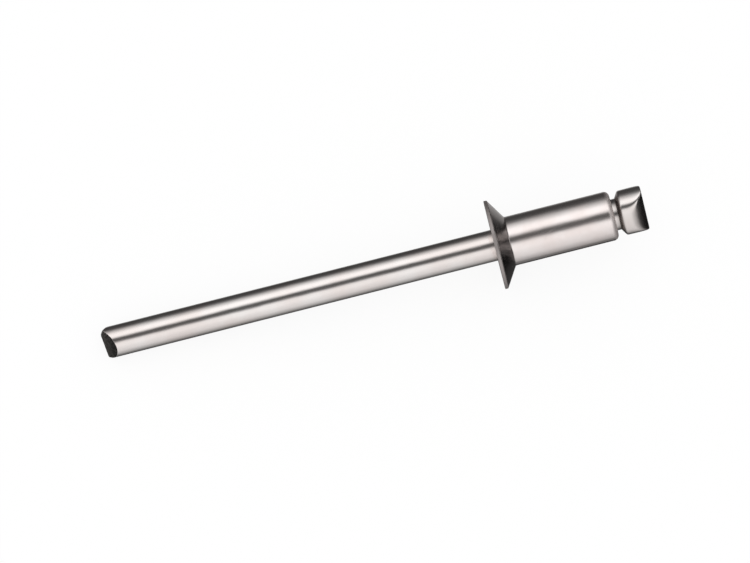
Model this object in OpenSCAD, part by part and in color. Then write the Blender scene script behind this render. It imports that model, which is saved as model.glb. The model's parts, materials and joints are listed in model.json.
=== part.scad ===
// Countersunk blind rivet with its mandrel, lying as it comes to rest: on the rim of the flange and the cut tip of
// the mandrel. The axis runs along X, from the cut tip at -X to the mandrel head at +X, and climbs towards the head.

/* [Barrel] */
// Outer diameter of the barrel
barrel_d = 3.25; // [2.9:0.05:4.0]
// Length from the outer face of the flange to the blind end of the barrel
barrel_len = 8.0; // [6:0.5:16]
// Radius that rounds the outer edge of the blind end
blind_round = 0.35; // [0.1:0.05:0.5]
// Bevel on the inner edge of the blind end
blind_bevel = 0.1; // [0.05:0.05:0.2]

/* [Flange] */
// Diameter of the countersunk flange
flange_d = 5.9; // [5.2:0.1:7]
// Thickness of the straight land around the rim
rim_land = 0.16; // [0.05:0.01:0.3]
// Included angle of the countersunk cone, in degrees
csk_angle = 115; // [90:1:130]
// Fillet where the cone runs into the barrel
neck_fillet = 0.15; // [0.05:0.05:0.4]

/* [Bore] */
// Radial gap between the bore and the mandrel
bore_gap = 0.05; // [0.02:0.01:0.1]
// Distance from the outer face to the middle of the lip that is closed on to the mandrel and holds it
grip_mid = 0.5; // [0.4:0.05:0.6]
// Radius of the lip, seen in section
grip_round = 2.5; // [2:0.1:3]
// Depth that the lip bites into the mandrel
grip_bite = 0.03; // [0.02:0.005:0.04]

/* [Mandrel] */
// Diameter of the mandrel shank
mandrel_d = 2.06; // [1.7:0.02:2.3]
// Length from the outer face of the flange to the edge of the cut tip
stem_len = 26.2; // [20:0.2:40]
// Depth of the break notch
notch_depth = 0.3; // [0.1:0.05:0.5]
// Width of the break notch at the surface of the shank
notch_w = 0.7; // [0.4:0.1:1.2]
// Distance from the blind end of the barrel back to the middle of the break notch
notch_in = 1.1; // [0.8:0.1:2]

/* [Mandrel head] */
// Diameter of the mandrel head
head_d = 3.0; // [2.6:0.05:3.2]
// Length of the head, with its conical underside
head_len = 1.76; // [1.4:0.02:2.4]
// Angle of the conical underside to the axis, in degrees
head_cone = 45; // [35:1:60]
// Length of shank that shows between the barrel and the head
head_gap = 0.3; // [0:0.05:1]
// Length of the two pinched facets, back from the end of the head
pinch_len = 1.46; // [1.3:0.02:1.7]
// How far the facets stand above the shank where they start
pinch_rise = 0.24; // [0.06:0.02:0.4]
// Thickness of the head at its pinched end
pinch_edge = 0.74; // [0.6:0.02:1.6]
// Turn of the front facets of the head and the cut tip above the level of the axis, in degrees
pinch_turn = 45; // [20:1:60]

/* [Cut tip] */
// Slant of the two facets that meet in the edge, each against square across, in degrees
cut_slant = 35; // [20:1:45]
// Distance of the edge from the axis, towards the back facet
edge_back = 0.13; // [0:0.01:0.3]
// Turn of the back die against the front one, which slants the edge, in degrees
die_turn = 15; // [0:1:25]
// Radius of the end of the edge that rolled over as the wire was pinched off
roll_r = 0.77; // [0.5:0.01:0.85]
// Turn of the rolled side above the level of the axis at the back, in degrees
roll_turn = 15; // [0:5:30]

/* [Hidden] */
$fn = 96;
// Overlap that lets one solid cut or join another cleanly
over = 0.5;

barrel_r = barrel_d / 2;
flange_r = flange_d / 2;
mandrel_r = mandrel_d / 2;
head_r = head_d / 2;
bore_r = mandrel_r + bore_gap;
grip_ring_r = mandrel_r - grip_bite + grip_round;

// Places along the axis, counted from the outer face of the flange, positive towards the head
cone_half = csk_angle / 2;
cone_end = rim_land + (flange_r - barrel_r) / tan(cone_half);
head_start = barrel_len + head_gap;
head_end = head_start + head_len;
head_full = head_start + (head_r - mandrel_r) / tan(head_cone);
notch_mid = barrel_len - notch_in;

// The fillet under the flange touches the cone and the barrel at this distance from their corner
fillet_reach = neck_fillet / tan((180 - cone_half) / 2);

// Each facet of the head is an arc that starts in line with the axis, behind the conical underside
pinch_start = head_end - pinch_len;
pinch_root = mandrel_r + pinch_rise;
pinch_drop = pinch_root - pinch_edge / 2;
pinch_arc = (pinch_drop * pinch_drop + pinch_len * pinch_len) / (2 * pinch_drop);

// Directions around the axis before the part is laid down, where +X points to the floor and -Y to the front. The two
// cut directions are those in which the facets of the tip climb.
pinch_az = -90 - pinch_turn;
back_az = pinch_az + 180 - die_turn;
roll_az = 90 + roll_turn;

// The roll starts a little beyond the edge and would end a little outside the shank, so that it meets both cleanly
roll_lead = 0.1;
roll_out = 0.02;

// Where the underside of the shank ends, at the higher of the two facets there
front_climb = mandrel_r * cos(pinch_az) + edge_back;
back_climb = mandrel_r * cos(back_az) - edge_back * cos(die_turn);
toe_len = stem_len - tan(cut_slant) * max(front_climb, back_climb);

// The part leans on the rim of its flange and the underside of its cut tip
lean = atan((flange_r - mandrel_r) / toe_len);
rest_z = flange_r * cos(lean);
left_x = -stem_len * cos(lean) - mandrel_r * sin(lean);
right_x = head_end * cos(lean) + head_r * sin(lean);
mid_x = (left_x + right_x) / 2;

// Lays what is built upright along Z, with the outer face of the flange at Z = 0, in its place of rest
module laid() {
    translate([-mid_x, 0, rest_z])
        rotate([0, 90 - lean, 0])
            children();
}

// Section of the lip that is closed on to the mandrel, an arc that bulges into the bore
module lip_section() {
    translate([grip_ring_r, grip_mid])
        circle(r = grip_round);
}

// Half section of the flange and the barrel as they would be without a bore, with the radius along X
module outer_section() {
    polygon([
        [0, 0],
        [flange_r, 0],
        [flange_r, rim_land],
        [barrel_r, cone_end],
        [barrel_r, barrel_len - blind_round],
        [barrel_r - blind_round, barrel_len],
        [0, barrel_len],
    ]);
    translate([barrel_r - blind_round, barrel_len - blind_round])
        circle(r = blind_round);
    neck_section();
}

// The corner under the flange, filled up to an arc
module neck_section() {
    difference() {
        polygon([
            [barrel_r, cone_end],
            [barrel_r + fillet_reach * sin(cone_half), cone_end - fillet_reach * cos(cone_half)],
            [barrel_r + neck_fillet, cone_end + fillet_reach],
            [barrel_r, cone_end + fillet_reach],
        ]);
        translate([barrel_r + neck_fillet, cone_end + fillet_reach])
            circle(r = neck_fillet);
    }
}

// Half section of the bore, narrowed by the lip behind the outer face
module bore_section() {
    difference() {
        translate([0, -over])
            square([bore_r, barrel_len + 2 * over]);
        lip_section();
    }
    // Bevel at the blind end
    translate([0, barrel_len - blind_bevel])
        polygon([
            [0, 0],
            [bore_r, 0],
            [bore_r + 2 * blind_bevel, 2 * blind_bevel],
            [0, 2 * blind_bevel],
        ]);
}

module rivet_body() {
    color([0.78, 0.75, 0.74])
        laid()
            rotate_extrude()
                difference() {
                    outer_section();
                    bore_section();
                }
}

// What one die takes off the end of the wire, below a facet that climbs in the given direction
module die_cut(az) {
    translate([-edge_back * cos(pinch_az), -edge_back * sin(pinch_az), -stem_len])
        rotate([0, 0, az])
            rotate([0, -cut_slant, 0])
                translate([-3 * mandrel_r, -3 * mandrel_r, -3 * mandrel_r])
                    cube([6 * mandrel_r, 6 * mandrel_r, 3 * mandrel_r]);
}

// What is missing at the end of the edge, outside its round corner
module roll_cut() {
    rotate([0, 0, roll_az])
        rotate([90, 0, 0])
            linear_extrude(height = 4 * mandrel_r, center = true)
                translate([mandrel_r + roll_out - roll_r, roll_r - stem_len - roll_lead])
                    difference() {
                        translate([0, -roll_r - over])
                            square([roll_r + over, roll_r + over]);
                        circle(r = roll_r);
                    }
}

// Ring that cuts the break notch
module notch_form() {
    rotate_extrude()
        polygon([
            [mandrel_r - notch_depth, notch_mid],
            [mandrel_r + notch_depth, notch_mid - notch_w],
            [mandrel_r + notch_depth, notch_mid + notch_w],
        ]);
}

// Section of the space that the die on the +X side leaves to the head
module die_section() {
    translate([-head_d, 0])
        square([2 * head_d, pinch_start]);
    translate([-head_d, 0])
        square([head_d, head_end + over]);
    translate([pinch_root - pinch_arc, pinch_start])
        circle(r = pinch_arc);
}

// Space left between the two dies that pinched the head: open along its sides, closing in two arcs to a blunt edge
module pinch_form() {
    rotate([0, 0, pinch_az])
        rotate([90, 0, 0])
            linear_extrude(height = 2 * head_d, center = true)
                intersection() {
                    die_section();
                    mirror([1, 0])
                        die_section();
                }
}

module mandrel_head() {
    intersection() {
        rotate_extrude()
            polygon([
                [0, head_start],
                [mandrel_r, head_start],
                [head_r, head_full],
                [head_r, head_end],
                [0, head_end],
            ]);
        pinch_form();
    }
}

module mandrel() {
    color([0.8, 0.77, 0.76])
        laid() {
            difference() {
                translate([0, 0, -stem_len - over])
                    cylinder(r = mandrel_r, h = stem_len + over + head_full);
                die_cut(pinch_az);
                die_cut(back_az);
                roll_cut();
                rotate_extrude()
                    lip_section();
                notch_form();
            }
            mandrel_head();
        }
}

rivet_body();
mandrel();
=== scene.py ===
"""A countersunk blind rivet on its mandrel, lying on a white table in a soft studio light."""

import json
import math

import bpy
from mathutils import Matrix, Vector, noise


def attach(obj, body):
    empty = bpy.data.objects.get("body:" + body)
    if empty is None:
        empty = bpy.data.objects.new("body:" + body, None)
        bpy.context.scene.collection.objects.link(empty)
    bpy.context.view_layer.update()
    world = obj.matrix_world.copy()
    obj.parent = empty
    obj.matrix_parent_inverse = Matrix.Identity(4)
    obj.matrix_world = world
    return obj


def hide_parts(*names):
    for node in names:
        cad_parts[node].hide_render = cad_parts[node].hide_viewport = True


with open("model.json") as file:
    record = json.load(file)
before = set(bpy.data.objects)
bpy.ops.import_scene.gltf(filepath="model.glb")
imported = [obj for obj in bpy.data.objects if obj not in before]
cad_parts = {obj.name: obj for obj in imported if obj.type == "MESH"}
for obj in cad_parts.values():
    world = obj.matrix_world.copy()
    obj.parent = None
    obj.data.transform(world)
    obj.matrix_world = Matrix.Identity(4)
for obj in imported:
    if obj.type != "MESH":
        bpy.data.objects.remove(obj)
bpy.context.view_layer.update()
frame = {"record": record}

# How the rivet lies. It rests on the rim of its flange and on the cut tip of its mandrel, so its
# axis climbs towards the head. The record's mounts give that axis and the middle of the flange's
# outer face. Lengths along the rivet are counted from that face, positive towards the head.
MM = 0.001
mounts = {mount["name"]: mount for mount in frame["record"]["mounts"]}
along = -Vector(mounts["countersink"]["axis"]).normalized()
face_centre = Vector(mounts["countersink"]["pos_m"])
level = Vector((0, 1, 0))
downwards = level.cross(along)
laid = Matrix.Translation(face_centre) @ Matrix((downwards, level, along)).transposed().to_4x4()

# The camera. A long lens looks down on the rivet from the front and a little from the side of the
# cut tip, so the axis climbs to the right in the picture. The middle of the flange's outer face is
# set where the photograph has it.
camera_turn = math.radians(13.55)
camera_rise = math.radians(74.5)
picture_px = Vector((750, 563))
face_px = Vector((494.3, 245.2))
mm_per_px = 0.06494

to_camera = Vector(
    (
        -math.sin(camera_turn) * math.cos(camera_rise),
        -math.cos(camera_turn) * math.cos(camera_rise),
        math.sin(camera_rise),
    )
)
picture_right = Vector((math.cos(camera_turn), -math.sin(camera_turn), 0))
picture_up = to_camera.cross(picture_right)
picture_width = picture_px.x * mm_per_px * MM
off_middle = (face_px - picture_px / 2) * mm_per_px * MM
aim = face_centre - picture_right * off_middle.x + picture_up * off_middle.y

lens = bpy.data.cameras.new("camera")
lens.lens = 400
lens.sensor_width = 36
lens.clip_start = 0.01
lens.clip_end = 10
camera = bpy.data.objects.new("camera", lens)
bpy.context.scene.collection.objects.link(camera)
camera.location = aim + to_camera * (picture_width * lens.lens / lens.sensor_width)
camera.rotation_mode = "QUATERNION"
camera.rotation_quaternion = (-to_camera).to_track_quat("-Z", "Y")
bpy.context.scene.camera = camera
bpy.context.scene.view_settings.view_transform = "Standard"

# The studio. A bright round bar mirrors what stands around it, so the light is a tent of soft
# panels drawn by the angle around the rivet's axis. A dark slit for the lens gives the line along
# the middle, the unlit back and underside the dark rims, and the dark far end the dark cone.

# Brightness around the axis, by the angle in degrees from the lens: over the back up to 180, and
# under the front down to -180
tent_round = [
    (-180, 0.14), (-172, 0.03), (-150, 0.05), (-138, 0.14), (-126, 0.16), (-116, 0.33),
    (-100, 0.47), (-84, 0.64), (-62, 0.74), (-40, 0.85), (-24, 0.84), (-16, 0.65), (-8, 0.24),
    (0, 0.09), (13, 0.09), (19, 0.32), (29, 0.88), (37, 1.00), (52, 0.96), (60, 0.82),
    (76, 0.47), (92, 0.15), (104, 0.06), (125, 0.04), (145, 0.06), (158, 0.28), (172, 0.30),
    (180, 0.14),
]
# Share of it that is left towards the head, by the lean in degrees from square to the axis. Above
# the rivet the tent stays open for longer, and the last list says where around the axis that is.
ends_below = [
    (14, 1.0), (24, 0.73), (36, 0.53), (43, 0.35), (48, 0.17), (54, 0.07), (60, 0.045),
    (75, 0.045),
]
ends_above = [(51, 1.0), (61, 0.045)]
counts_above = [(-180, 0), (-62, 0), (-44, 1), (72, 1), (98, 0), (180, 0)]
# Brightness around the axis beyond the tip, and the leans between which it takes over
tip_round = [
    (-180, 0.04), (-110, 0.04), (-70, 0.35), (-40, 0.80), (-20, 0.65), (-8, 0.24), (0, 0.09),
    (13, 0.09), (22, 0.40), (32, 0.90), (60, 0.85), (85, 0.50), (110, 0.35), (140, 0.35),
    (160, 0.15), (180, 0.05),
]
tip_leans = (-34, -50)
# A small panel closes the tent beyond the head and lights the rounded blind end
panel_leans = (71, 81)
panel_tone = 0.6
tent_strength = 1.25


def add(tree, kind, inputs=None, **settings):
    """Adds a node, sets its properties, and sets or links its inputs."""
    node = tree.nodes.new(kind)
    for name, value in settings.items():
        setattr(node, name, value)
    for name, value in (inputs or {}).items():
        if isinstance(value, bpy.types.NodeSocket):
            tree.links.new(value, node.inputs[name])
        else:
            node.inputs[name].default_value = value
    return node


def maths(tree, operation, *values):
    """Adds a sum over one to three values and returns its result."""
    return add(tree, "ShaderNodeMath", dict(enumerate(values)), operation=operation).outputs[0]


def eased(tree, value, low, high):
    """Returns a value's smooth rise from 0 to 1 between two levels."""
    levels = {"Value": value, "From Min": low, "From Max": high}
    return add(tree, "ShaderNodeMapRange", levels, interpolation_type="SMOOTHSTEP").outputs[0]


def mixed(tree, share, a, b, blend="MIX"):
    """Mixes two colours and returns the result."""
    node = add(tree, "ShaderNodeMix", {"Factor": share}, data_type="RGBA", blend_type=blend)
    for socket, value in zip((node.inputs[6], node.inputs[7]), (a, b)):
        if isinstance(value, bpy.types.NodeSocket):
            tree.links.new(value, socket)
        else:
            socket.default_value = value
    return node.outputs[2]


def grey(tone):
    """The colour of a plain grey tone."""
    return (tone, tone, tone, 1)


def ramp(tree, angle, reach, stops):
    """Adds a grey ramp over an angle from -reach to reach, through (degrees, tone) stops."""
    limit = math.radians(reach)
    share = add(tree, "ShaderNodeMapRange", {"Value": angle, "From Min": -limit, "From Max": limit})
    node = add(tree, "ShaderNodeValToRGB", {"Fac": share.outputs[0]})
    elements = node.color_ramp.elements
    while len(elements) < len(stops):
        elements.new(0.5)
    for element, (degrees, tone) in zip(elements, stops):
        element.position = 0.5 + 0.5 * degrees / reach
        element.color = grey(tone)
    return node.outputs["Color"]


world = bpy.data.worlds.new("studio")
bpy.context.scene.world = world
world.use_nodes = True
sky = world.node_tree
sky.nodes.clear()
across = (to_camera - along * to_camera.dot(along)).normalized()
seen = add(sky, "ShaderNodeTexCoord").outputs["Generated"]
to_lens, to_back, to_head = [
    add(sky, "ShaderNodeVectorMath", {0: seen, 1: axis}, operation="DOT_PRODUCT").outputs["Value"]
    for axis in (across, across.cross(along), along)
]
turn = maths(sky, "ARCTAN2", to_back, to_lens)
lean = maths(sky, "ARCSINE", to_head)
share_below = ramp(sky, lean, 90, ends_below)
share_above = ramp(sky, lean, 90, ends_above)
share_left = mixed(sky, ramp(sky, turn, 180, counts_above), share_below, share_above)
tent = mixed(sky, 1, ramp(sky, turn, 180, tent_round), share_left, "MULTIPLY")
at_tip = eased(sky, lean, *map(math.radians, tip_leans))
tent = mixed(sky, at_tip, tent, ramp(sky, turn, 180, tip_round))
at_panel = eased(sky, lean, *map(math.radians, panel_leans))
tent = mixed(sky, at_panel, tent, grey(panel_tone))
tent_light = add(sky, "ShaderNodeBackground", {"Color": tent, "Strength": tent_strength})
plain_light = add(sky, "ShaderNodeBackground", {"Color": grey(1), "Strength": 1})
mirrored = add(sky, "ShaderNodeLightPath").outputs["Is Glossy Ray"]
lights = {0: mirrored, 1: plain_light.outputs[0], 2: tent_light.outputs[0]}
light = add(sky, "ShaderNodeMixShader", lights)
add(sky, "ShaderNodeOutputWorld", {"Surface": light.outputs[0]})

# The table, a wide sheet of white card that keeps a faint shadow of the rivet. The tent goes on
# below it, so glossy rays pass through the table and the metal is lit from all sides.
table_reach = 3.0
table_tone = 0.12

table_paint = bpy.data.materials.new("table_white")
table_paint.use_nodes = True
paint = table_paint.node_tree
paint.nodes.clear()
lit = add(paint, "ShaderNodeBsdfDiffuse", {"Color": grey(table_tone)})
ray = add(paint, "ShaderNodeLightPath").outputs
shown = maths(paint, "MAXIMUM", ray["Is Camera Ray"], ray["Is Glossy Ray"])
shown = maths(paint, "MAXIMUM", shown, ray["Is Transmission Ray"])
lift_strength = maths(paint, "MULTIPLY", shown, 1 - table_tone)
lift = add(paint, "ShaderNodeEmission", {"Color": grey(1), "Strength": lift_strength})
lifted = add(paint, "ShaderNodeAddShader", {0: lit.outputs[0], 1: lift.outputs[0]})
add(paint, "ShaderNodeOutputMaterial", {"Surface": lifted.outputs[0]})

sheet = bpy.data.meshes.new("table")
corners = [(-1, -1), (1, -1), (1, 1), (-1, 1)]
sheet.from_pydata([(x * table_reach, y * table_reach, 0) for x, y in corners], [], [(0, 1, 2, 3)])
sheet.materials.append(table_paint)
table = bpy.data.objects.new("table", sheet)
bpy.context.scene.collection.objects.link(table)
table.visible_glossy = False

# The rivet body: one cold formed piece of plated steel, a countersunk flange and a tubular barrel
# with a rounded blind end. Its bore is closed on to the mandrel by a lip behind the outer face. It
# is turned from its half section, whose corners are filleted one by one.

# Sizes in millimetres, and angles
barrel_r = mounts["barrel"]["dims"]["r_mm"]
stem_r = mounts["stem"]["dims"]["r_mm"]
barrel_len = 8.0
blind_round = 0.35
blind_bevel = 0.08
flange_r = 2.945
rim_land = 0.2
rim_round = 0.06
csk_half = math.radians(115 / 2)
neck_fillet = 0.15
bore_r = stem_r + 0.05
lip_mid = 0.5
lip_round = 2.5
lip_bite = 0.03
body_segments = 192
fillet_steps = 8
crease_angle = math.radians(40)

lip_ring_r = stem_r - lip_bite + lip_round
lip_half = math.sqrt(lip_round**2 - (lip_ring_r - bore_r) ** 2)
cone_end = rim_land + (flange_r - barrel_r) / math.tan(csk_half)

# Colours of the satin plate, of the painted shade in its corners and of the bare sheared rim
satin_pale = (0.84, 0.782, 0.766, 1)
satin_warm = (0.80, 0.72, 0.695, 1)
corner_shade_brown = (0.10, 0.085, 0.075, 1)
rim_grey = (0.34, 0.31, 0.30, 1)
# Its roughness, the depth of its drawn lines, how many times deeper its waves are, and how far the
# painted shade reaches out of corners
plate_rough = 0.12
plate_relief = 0.0006 * MM
plate_waves_height = 34.0
corner_shade_reach = 0.22 * MM
# Between which lengths it changes off the flange and on to the blind end, and between which radii
# on to the rim
flange_fade = (0.9, 1.1)
end_fade = (barrel_len - blind_round - 0.05, barrel_len - 0.1)
rim_fade = (flange_r - 0.12, flange_r - 0.03)


def turned_form():
    """Builds the node tree that fillets a half section and turns it about the Z axis."""
    tree = bpy.data.node_groups.new("Turned Form", "GeometryNodeTree")
    inputs = {
        "Section": "Geometry",
        "Segments": "Int",
        "Fillet Steps": "Int",
        "Crease Angle": "Float",
        "Finish": "Material",
    }
    for socket, kind in inputs.items():
        tree.interface.new_socket(socket, in_out="INPUT", socket_type="NodeSocket" + kind)
    tree.interface.new_socket("Form", in_out="OUTPUT", socket_type="NodeSocketGeometry")
    given = add(tree, "NodeGroupInput").outputs
    line = add(tree, "GeometryNodeMeshToCurve", {"Mesh": given["Section"]})
    fillet = add(tree, "GeometryNodeInputNamedAttribute", {"Name": "fillet"}, data_type="FLOAT")
    rounding = {
        "Curve": line.outputs["Curve"],
        "Count": given["Fillet Steps"],
        "Radius": fillet.outputs["Attribute"],
        "Limit Radius": True,
    }
    rounded = add(tree, "GeometryNodeFilletCurve", rounding, mode="POLY")
    # The ring that the section is swept along is wider than the part, and the section gives its
    # radius back
    ring_r = 10 * MM
    shift = {"Geometry": rounded.outputs["Curve"], "Translation": (-ring_r, 0, 0)}
    inwards = add(tree, "GeometryNodeTransform", shift)
    circle = {"Resolution": given["Segments"], "Radius": ring_r}
    ring = add(tree, "GeometryNodeCurvePrimitiveCircle", circle)
    sweep = {"Curve": ring.outputs["Curve"], "Profile Curve": inwards.outputs["Geometry"]}
    swept = add(tree, "GeometryNodeCurveToMesh", sweep)
    same_place = 1e-7
    doubles = {"Geometry": swept.outputs["Mesh"], "Distance": same_place}
    closed = add(tree, "GeometryNodeMergeByDistance", doubles)
    angle = add(tree, "GeometryNodeInputMeshEdgeAngle")
    limit = {"A": angle.outputs["Unsigned Angle"], "B": given["Crease Angle"]}
    soft = add(tree, "FunctionNodeCompare", limit, data_type="FLOAT", operation="LESS_THAN")
    shading = {"Geometry": closed.outputs["Geometry"], "Shade Smooth": soft.outputs["Result"]}
    smooth = add(tree, "GeometryNodeSetShadeSmooth", shading, domain="EDGE")
    real = add(tree, "GeometryNodeRealizeInstances", {"Geometry": smooth.outputs["Geometry"]})
    finish = {"Geometry": real.outputs["Geometry"], "Material": given["Finish"]}
    finished = add(tree, "GeometryNodeSetMaterial", finish)
    add(tree, "NodeGroupOutput", {"Form": finished.outputs["Geometry"]})
    return tree


def turned(name, section, closed, finish, segments):
    """Returns the mesh of (radius, length, fillet) corners in millimetres, standing upright."""
    line = bpy.data.meshes.new(name)
    points = [(radius * MM, -length * MM, 0) for radius, length, _ in section]
    edges = [(i, i + 1) for i in range(len(points) - 1)]
    if closed:
        edges.append((len(points) - 1, 0))
    line.from_pydata(points, edges, [])
    fillet = line.attributes.new("fillet", "FLOAT", "POINT")
    fillet.data.foreach_set("value", [corner[2] * MM for corner in section])
    blank = bpy.data.objects.new(name, line)
    bpy.context.scene.collection.objects.link(blank)
    lathe = blank.modifiers.new("lathe", "NODES")
    lathe.node_group = lathe_tree
    sockets = lathe_tree.interface.items_tree
    given = {item.name: item.identifier for item in sockets if item.in_out == "INPUT"}
    lathe[given["Segments"]] = segments
    lathe[given["Fillet Steps"]] = fillet_steps
    lathe[given["Crease Angle"]] = crease_angle
    lathe[given["Finish"]] = finish
    evaluated = blank.evaluated_get(bpy.context.evaluated_depsgraph_get())
    mesh = bpy.data.meshes.new_from_object(evaluated)
    bpy.data.objects.remove(blank)
    mesh.name = name
    return mesh


def supported(section, closed):
    """Adds a point just beyond each fillet, which keeps the shading of straight stretches true."""
    margin = 0.015
    points = []
    count = len(section)
    for i, (radius, length, fillet) in enumerate(section):
        here = Vector((radius, length))
        if fillet and (closed or 0 < i < count - 1):
            before = Vector(section[i - 1][:2]) - here
            after = Vector(section[(i + 1) % count][:2]) - here
            reach = fillet / math.tan(before.angle(after) / 2) + margin
            near, far = here + before.normalized() * reach, here + after.normalized() * reach
            points += [(near.x, near.y, 0), (radius, length, fillet), (far.x, far.y, 0)]
        else:
            points.append((radius, length, fillet))
    return points


def lip(start, end, steps):
    """Points along the lip that is closed on to the mandrel, from one length to another."""
    points = []
    for i in range(steps + 1):
        length = start + (end - start) * i / steps
        radius = lip_ring_r - math.sqrt(lip_round**2 - (length - lip_mid) ** 2)
        points.append((radius, length, 0))
    return points


def laid_down(name, mesh):
    """Turns an upright mesh to where the rivet lies and returns its object."""
    upright = mesh.attributes.new("upright", "FLOAT_VECTOR", "POINT")
    for vertex, stored in zip(mesh.vertices, upright.data):
        stored.vector = vertex.co / MM
    mesh.transform(laid)
    piece = bpy.data.objects.new(name, mesh)
    bpy.context.scene.collection.objects.link(piece)
    return piece


# Effects on the surface, which the plate and the wire both use. They are placed in millimetres on
# the upright rivet.
def effect(name, inputs, output):
    """Starts the node group of an effect, and returns its tree and the inputs given to it."""
    tree = bpy.data.node_groups.new(name, "ShaderNodeTree")
    for socket, kind in inputs.items():
        tree.interface.new_socket(socket, in_out="INPUT", socket_type="NodeSocket" + kind)
    tree.interface.new_socket(output, in_out="OUTPUT", socket_type="NodeSocketFloat")
    return tree, add(tree, "NodeGroupInput").outputs


def used(tree, group, inputs):
    """Adds a node that uses an effect and returns its result."""
    return add(tree, "ShaderNodeGroup", inputs, node_tree=group).outputs[0]


def inverse(tree, value):
    """Returns 1 less a value."""
    return maths(tree, "SUBTRACT", 1.0, value)


def noisy(tree, place, scale, detail, roughness=0.5):
    """Adds a noise and returns its value."""
    inputs = {"Vector": place, "Scale": scale, "Detail": detail, "Roughness": roughness}
    return add(tree, "ShaderNodeTexNoise", inputs).outputs["Fac"]


def stretched(tree, place, scale, turned_by=(0, 0, 0)):
    """Turns and scales the place a texture is read at."""
    inputs = {"Vector": place, "Scale": scale, "Rotation": turned_by}
    return add(tree, "ShaderNodeMapping", inputs, vector_type="POINT").outputs[0]


def off_axis(tree, place):
    """Returns a place's distance from the axis of the rivet."""
    flat = add(tree, "ShaderNodeVectorMath", {0: place, 1: (1, 1, 0)}, operation="MULTIPLY")
    length = add(tree, "ShaderNodeVectorMath", {0: flat.outputs[0]}, operation="LENGTH")
    return length.outputs["Value"]


# Most effects are given the place and how many of their marks there are to a millimetre
scaled = {"Place": "Vector", "Per Millimetre": "Float"}


def drawn_lines():
    """Fine lines along the piece, from the die that the metal was drawn through."""
    tree, given = effect("Drawn Lines", scaled, "Lines")
    place = stretched(tree, given["Place"], (1, 1, 0.012))
    lines = noisy(tree, place, given["Per Millimetre"], detail=3.0, roughness=0.6)
    add(tree, "NodeGroupOutput", {"Lines": lines})
    return tree


def turned_rings():
    """Rings around the axis, from the dies that the flange and the head were upset in."""
    tree, given = effect("Turned Rings", scaled, "Rings")
    ring = add(tree, "ShaderNodeCombineXYZ", {"X": off_axis(tree, given["Place"]), "Y": 3.0})
    rings = noisy(tree, ring.outputs[0], given["Per Millimetre"], detail=2.0, roughness=0.7)
    add(tree, "NodeGroupOutput", {"Rings": rings})
    return tree


def handling_marks():
    """Hairline scratches and small nicks from the bin, in patches."""
    tree, given = effect("Handling Marks", {"Place": "Vector", "Density": "Float"}, "Marks")
    hair_edge = (0.0015, 0.005)
    nick_edge = (0.03, 0.09)
    patch_edge = (0.45, 0.62)
    hairs = []
    for turned_by in ((0.5, 0.2, 0.9), (-0.7, 0.6, -0.3)):
        place = stretched(tree, given["Place"], (1, 1, 0.1), turned_by)
        off = maths(tree, "SUBTRACT", noisy(tree, place, 1.7, detail=1.0), 0.5)
        hairs.append(inverse(tree, eased(tree, maths(tree, "ABSOLUTE", off), *hair_edge)))
    hair = maths(tree, "MAXIMUM", *hairs)
    cell_inputs = {"Vector": given["Place"], "Scale": given["Density"]}
    cells = add(tree, "ShaderNodeTexVoronoi", cell_inputs).outputs["Distance"]
    nick = inverse(tree, eased(tree, cells, *nick_edge))
    patch = eased(tree, noisy(tree, given["Place"], 0.9, detail=2.0), *patch_edge)
    marks = maths(tree, "MULTIPLY", maths(tree, "MAXIMUM", hair, nick), patch)
    add(tree, "NodeGroupOutput", {"Marks": marks})
    return tree


def dull_cloud():
    """Broad soft patches where the metal looks a little warmer and duller."""
    tree, given = effect("Dull Cloud", scaled, "Cloud")
    cloud_edge = (0.32, 0.68)
    cloud = noisy(tree, given["Place"], given["Per Millimetre"], detail=3.0, roughness=0.55)
    add(tree, "NodeGroupOutput", {"Cloud": eased(tree, cloud, *cloud_edge)})
    return tree


def shallow_waves():
    """Waves in the surface, too shallow to see but for how they bend a reflection."""
    tree, given = effect("Shallow Waves", scaled, "Waves")
    place = stretched(tree, given["Place"], (1, 1, 0.6))
    waves = noisy(tree, place, given["Per Millimetre"], detail=1.5)
    add(tree, "NodeGroupOutput", {"Waves": waves})
    return tree


def painted_corner_shade():
    """Painted shade in narrow corners, as between the lip and the shank, where ambient occlusion
    finds the surface closed in.
    """
    tree, given = effect("Painted Corner Shade", {"Reach": "Float"}, "Shade")
    air = add(tree, "ShaderNodeAmbientOcclusion", {"Distance": given["Reach"]}, samples=8)
    corner_shade = maths(tree, "POWER", inverse(tree, air.outputs["AO"]), 1.5)
    add(tree, "NodeGroupOutput", {"Shade": corner_shade})
    return tree


lines_group = drawn_lines()
rings_group = turned_rings()
marks_group = handling_marks()
cloud_group = dull_cloud()
waves_group = shallow_waves()
corner_shade_group = painted_corner_shade()


def metal(name):
    """Starts a metal, and returns it with its tree, its shader and the place on the rivet."""
    material = bpy.data.materials.new(name)
    material.use_nodes = True
    tree = material.node_tree
    shader = tree.nodes["Principled BSDF"]
    shader.inputs["Metallic"].default_value = 1
    place = add(tree, "ShaderNodeAttribute", attribute_name="upright").outputs["Vector"]
    return material, tree, shader, place


def stained(tree, tint, *stains):
    """Lays (mask, strength, colour) stains over a tint, one after the other."""
    for mask, strength, colour in stains:
        tint = mixed(tree, maths(tree, "MULTIPLY", mask, strength), tint, colour)
    return tint


def raised(tree, value, *parts):
    """Adds (mask, weight) parts to a value."""
    for mask, weight in parts:
        value = maths(tree, "MULTIPLY_ADD", mask, weight, value)
    return value


def in_relief(tree, shader, height, depth):
    """Raises a surface by a height, of which 1 stands for the depth."""
    inputs = {"Height": height, "Strength": 1.0, "Distance": depth}
    relief = add(tree, "ShaderNodeBump", inputs)
    tree.links.new(relief.outputs["Normal"], shader.inputs["Normal"])


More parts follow.
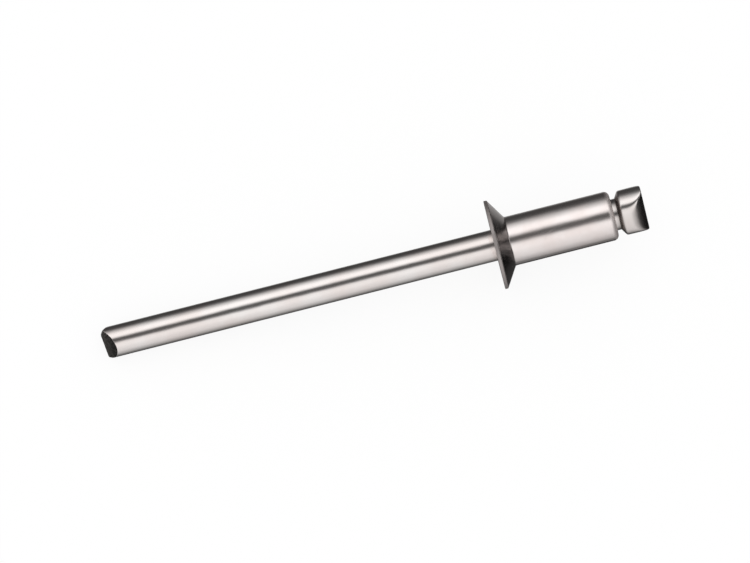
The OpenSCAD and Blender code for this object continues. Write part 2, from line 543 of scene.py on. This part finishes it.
# Satin plate: drawn lines along the barrel, turned rings on the flange
satin, coat, shader, place = metal("plated_satin")
length = add(coat, "ShaderNodeSeparateXYZ", {"Vector": place}).outputs["Z"]
lines = used(coat, lines_group, {"Place": place, "Per Millimetre": 9.0})
rings = used(coat, rings_group, {"Place": place, "Per Millimetre": 7.0})
marks = used(coat, marks_group, {"Place": place, "Density": 1.6})
cloud = used(coat, cloud_group, {"Place": place, "Per Millimetre": 0.55})
waves = used(coat, waves_group, {"Place": place, "Per Millimetre": 0.9})
corner_shade = used(coat, corner_shade_group, {"Reach": corner_shade_reach})
on_flange = inverse(coat, eased(coat, length, *flange_fade))
at_end = eased(coat, length, *end_fade)
at_rim = eased(coat, off_axis(coat, place), *rim_fade)
dull = maths(coat, "MAXIMUM", at_end, at_rim)
grains = {"Factor": on_flange, "A": lines, "B": rings}
grain = add(coat, "ShaderNodeMix", grains, data_type="FLOAT").outputs[0]
tint = mixed(coat, cloud, satin_pale, satin_warm)
# Painted shade in the corners, from ambient occlusion, darkens the tint towards brown
tint = stained(coat, tint, (corner_shade, 0.6, corner_shade_brown), (at_rim, 0.8, rim_grey))
coat.links.new(tint, shader.inputs["Base Color"])
rough = raised(coat, plate_rough, (grain, 0.06), (cloud, 0.03), (marks, 0.08))
rough = raised(coat, rough, (corner_shade, 0.2), (dull, 0.42))
coat.links.new(rough, shader.inputs["Roughness"])
height = raised(coat, grain, (marks, -0.5), (waves, plate_waves_height))
in_relief(coat, shader, height, plate_relief)

lathe_tree = turned_form()
body_section = supported(
    [
        (bore_r, barrel_len, blind_bevel),
        (barrel_r, barrel_len, blind_round),
        (barrel_r, cone_end, neck_fillet),
        (flange_r, rim_land, rim_round),
        (flange_r, 0, rim_round / 2),
    ]
    + lip(0, lip_mid + lip_half, steps=12),
    closed=True,
)
body_mesh = turned("rivet_body_form", body_section, True, satin, segments=body_segments)
body = laid_down("rivet_body_shell", body_mesh)
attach(body, "root")
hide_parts("rivet_body")

# The mandrel: one length of bright drawn wire. Its head was upset and pinched between two dies, a
# ring notch inside the barrel lets it break there, and the other end was pinched off to a blunt
# chisel edge that rolled over at its back end.

# Sizes in millimetres, and angles
stem_len = 26.2
notch_mid = barrel_len - 1.1
notch_half = 0.35
notch_depth = 0.3
head_r = 1.5
head_start = barrel_len + 0.26
head_full = barrel_len + 0.55
head_end = barrel_len + 2.06
pinch_turn = math.radians(45)
pinch_len = 1.34
pinch_root = stem_r + 0.27
pinch_soft = 0.36
pinch_edge = 0.74
cut_slant = math.radians(35)
edge_back = 0.13
edge_soft = 0.03
die_turn = math.radians(15)
roll_r = 0.77
roll_lead = 0.1
roll_out = 0.02
roll_turn = math.radians(15)
tip_blend = 2.0
tip_top = -stem_len + tip_blend
torn_skin = 0.012
coarse_lump, coarse_to_mm = 0.008, 4
fine_lump, fine_to_mm = 0.005, 13
lip_clear = 1.0
head_step = 0.03
tip_step = 0.025
mandrel_segments = 256

# Colours of the drawn wire, of its pressed facets, of the painted shade under the head, and of the
# edge of the torn face and the painted shade in its depth
bright_pale = (0.82, 0.782, 0.765, 1)
bright_warm = (0.775, 0.71, 0.685, 1)
pressed_grey = (0.66, 0.61, 0.585, 1)
neck_shade_brown = (0.24, 0.215, 0.20, 1)
torn_edge = (0.18, 0.167, 0.154, 1)
torn_deep_shade = (0.02, 0.018, 0.016, 1)
# Its roughness, the depth of its drawn lines, and how many times deeper its waves and the torn
# face are
wire_rough = 0.10
wire_relief = 0.0005 * MM
wire_waves_height = 26.0
torn_height = 80.0
# Between which lengths it changes on to the head, past the painted shade under the head, and down
# the torn face into its painted shade
head_fade = (head_start - 0.3, head_start + 0.08)
neck_shade_fade = (head_full - 0.12, head_full + 0.08)
torn_shade_fade = (-stem_len - 0.1, -stem_len + 1.0)

# Bright drawn steel, a little duller where the dies pressed it, and dark and torn where it was
# pinched off, with painted shade under the head, in the depth of the torn face and in corners
bright, coat, shader, place = metal("drawn_bright")
length = add(coat, "ShaderNodeSeparateXYZ", {"Vector": place}).outputs["Z"]
pressed = add(coat, "ShaderNodeAttribute", attribute_name="pressed").outputs["Fac"]
torn = add(coat, "ShaderNodeAttribute", attribute_name="torn").outputs["Fac"]
lines = used(coat, lines_group, {"Place": place, "Per Millimetre": 14.0})
rings = used(coat, rings_group, {"Place": place, "Per Millimetre": 10.0})
marks = used(coat, marks_group, {"Place": place, "Density": 2.1})
cloud = used(coat, cloud_group, {"Place": place, "Per Millimetre": 0.4})
waves = used(coat, waves_group, {"Place": place, "Per Millimetre": 1.3})
corner_shade = used(coat, corner_shade_group, {"Reach": corner_shade_reach})
on_head = eased(coat, length, *head_fade)
# A band of painted shade under the head, over the neck and the head's underside
neck_shade = maths(coat, "SUBTRACT", on_head, eased(coat, length, *neck_shade_fade))
grains = {"Factor": on_head, "A": lines, "B": rings}
grain = add(coat, "ShaderNodeMix", grains, data_type="FLOAT").outputs[0]
crystal_inputs = {"Vector": place, "Scale": 8.0}
crystals = add(coat, "ShaderNodeTexVoronoi", crystal_inputs).outputs["Distance"]
shear = noisy(coat, stretched(coat, place, (6, 6, 2)), 1.0, detail=4.0)
rip = raised(coat, shear, (crystals, 0.6))
# The torn face runs from its own dark grey at the edge to a near black painted shade in its depth
depth = raised(coat, maths(coat, "ADD", length, 1.0), (rip, -1.2))
torn_and_shaded = mixed(coat, eased(coat, depth, *torn_shade_fade), torn_edge, torn_deep_shade)
# Painted shade under the head, in the depth of the torn face and in the corners darkens the tint
tint = stained(
    coat,
    mixed(coat, cloud, bright_pale, bright_warm),
    (pressed, 0.35, pressed_grey),
    (neck_shade, 0.7, neck_shade_brown),
    (torn, 0.95, torn_and_shaded),
    (corner_shade, 0.6, corner_shade_brown),
)
coat.links.new(tint, shader.inputs["Base Color"])
rough = raised(coat, wire_rough, (grain, 0.05), (cloud, 0.02), (marks, 0.08), (pressed, 0.05))
rough = raised(coat, rough, (neck_shade, 0.12), (torn, 0.35), (corner_shade, 0.2))
coat.links.new(rough, shader.inputs["Roughness"])
torn_relief = maths(coat, "MULTIPLY", torn, rip)
wear = ((marks, -0.5), (waves, wire_waves_height), (torn_relief, torn_height))
height = raised(coat, grain, *wear)
in_relief(coat, shader, height, wire_relief)


def filled(section, step, low, high):
    """Adds points to the straight stretches between two lengths, no further apart than a step."""
    points = [section[0]]
    for before, after in zip(section, section[1:]):
        if low <= (before[1] + after[1]) / 2 <= high and not before[2] and not after[2]:
            count = max(1, math.ceil(math.dist(before[:2], after[:2]) / step))
            for i in range(1, count):
                share = i / count
                points.append(tuple(a + (b - a) * share for a, b in zip(before, after)))
        points.append(after)
    return points


head_section = supported(
    [
        (0, head_end, 0),
        (head_r, head_end, 0.05),
        (head_r, head_full, 0.2),
        (stem_r, head_start, 0.05),
        (stem_r, notch_mid + notch_half, 0.03),
        (stem_r - notch_depth, notch_mid, 0.05),
        (stem_r, notch_mid - notch_half, 0.03),
        (stem_r, lip_mid + lip_clear, 0),
    ],
    closed=False,
)
lip_foot = math.sqrt(lip_round**2 - (lip_ring_r - stem_r) ** 2)
tip_section = supported(
    [(stem_r, tip_top, 0), (stem_r, -stem_len, 0.03), (0, -stem_len, 0)], closed=False
)
mandrel_section = filled(head_section, head_step, head_start, head_end + 1)
mandrel_section += lip(lip_mid + lip_foot, lip_mid - lip_foot, steps=10)
mandrel_section += filled(tip_section, tip_step, -stem_len - 1, tip_top)
mandrel_mesh = turned("mandrel_form", mandrel_section, False, bright, segments=mandrel_segments)

# Directions square to the axis: the one that the front facets face, the one along them, the one
# that the back die came from, and the side that rolled over
facing = Vector((-math.sin(pinch_turn), -math.cos(pinch_turn)))
beside = Vector((-facing.y, facing.x))
behind = Vector((math.sin(pinch_turn + die_turn), math.cos(pinch_turn + die_turn)))
rolled = Vector((-math.sin(roll_turn), math.cos(roll_turn)))
pinch_drop = pinch_root - pinch_edge / 2
pinch_arc = (pinch_drop**2 + pinch_len**2) / (2 * pinch_drop)


def blended(a, b, soft):
    """The larger of two values, with a soft change between them."""
    return (a + b + math.sqrt((a - b) ** 2 + soft**2)) / 2


def pinched(radial, length):
    """Squeezes a point of the head in between the two dies, with crisper edges to the end."""
    if length < head_start:
        return radial
    shoulder = 0.15
    sharpening = 0.6
    thick, wide = radial.dot(facing), radial.dot(beside)
    outer = radial.length if length < head_full + shoulder else head_r
    side = math.sqrt(max(outer**2 - wide**2, 1e-6))
    into = min(max(length - (head_end - pinch_len), 0), pinch_len)
    limit = pinch_root - pinch_arc + math.sqrt(pinch_arc**2 - into**2)
    squeeze = -blended(-side, -limit, pinch_soft * (1 - sharpening * into / pinch_len))
    return facing * thick * min(1, squeeze / side) + beside * wide


def roughened(radial):
    """How far the torn face is worn back at a point, in coarse and in fine lumps."""
    spot = Vector((radial.x, radial.y, 0))
    coarse = coarse_lump * (1 + noise.noise(spot * coarse_to_mm))
    return coarse + fine_lump * (1 + noise.noise(spot * fine_to_mm))


def cut_off(radial, length):
    """Moves a point near the tip so that the flat end becomes the pinched off one."""
    if length >= tip_top:
        return length
    slope = math.tan(cut_slant)
    front = slope * (radial.dot(facing) + edge_back)
    back = slope * (radial.dot(behind) - edge_back * math.cos(die_turn))
    across_roll = min(max(radial.dot(rolled) - (stem_r + roll_out - roll_r), 0), roll_r)
    corner = roll_r - roll_lead - math.sqrt(roll_r**2 - across_roll**2)
    end = blended(blended(front, back, edge_soft), corner, edge_soft)
    end += roughened(radial)
    up = length + stem_len
    return end + up * (tip_blend - end) / tip_blend - stem_len


# How much each point was moved by the dies, and which points lie on the torn face
full_press = 1 / 6
squeezes, tears = [], []
for vertex in mandrel_mesh.vertices:
    radial, length = Vector(vertex.co[:2]) / MM, vertex.co.z / MM
    squeezed = pinched(radial, length)
    squeezes.append(min(1, (radial - squeezed).length / full_press))
    tears.append(1 if length < -stem_len + torn_skin else 0)
    vertex.co = Vector((squeezed.x, squeezed.y, cut_off(radial, length))) * MM
for name, values in (("pressed", squeezes), ("torn", tears)):
    mandrel_mesh.attributes.new(name, "FLOAT", "POINT").data.foreach_set("value", values)
mandrel = laid_down("mandrel_wire", mandrel_mesh)
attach(mandrel, "root")
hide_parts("mandrel")
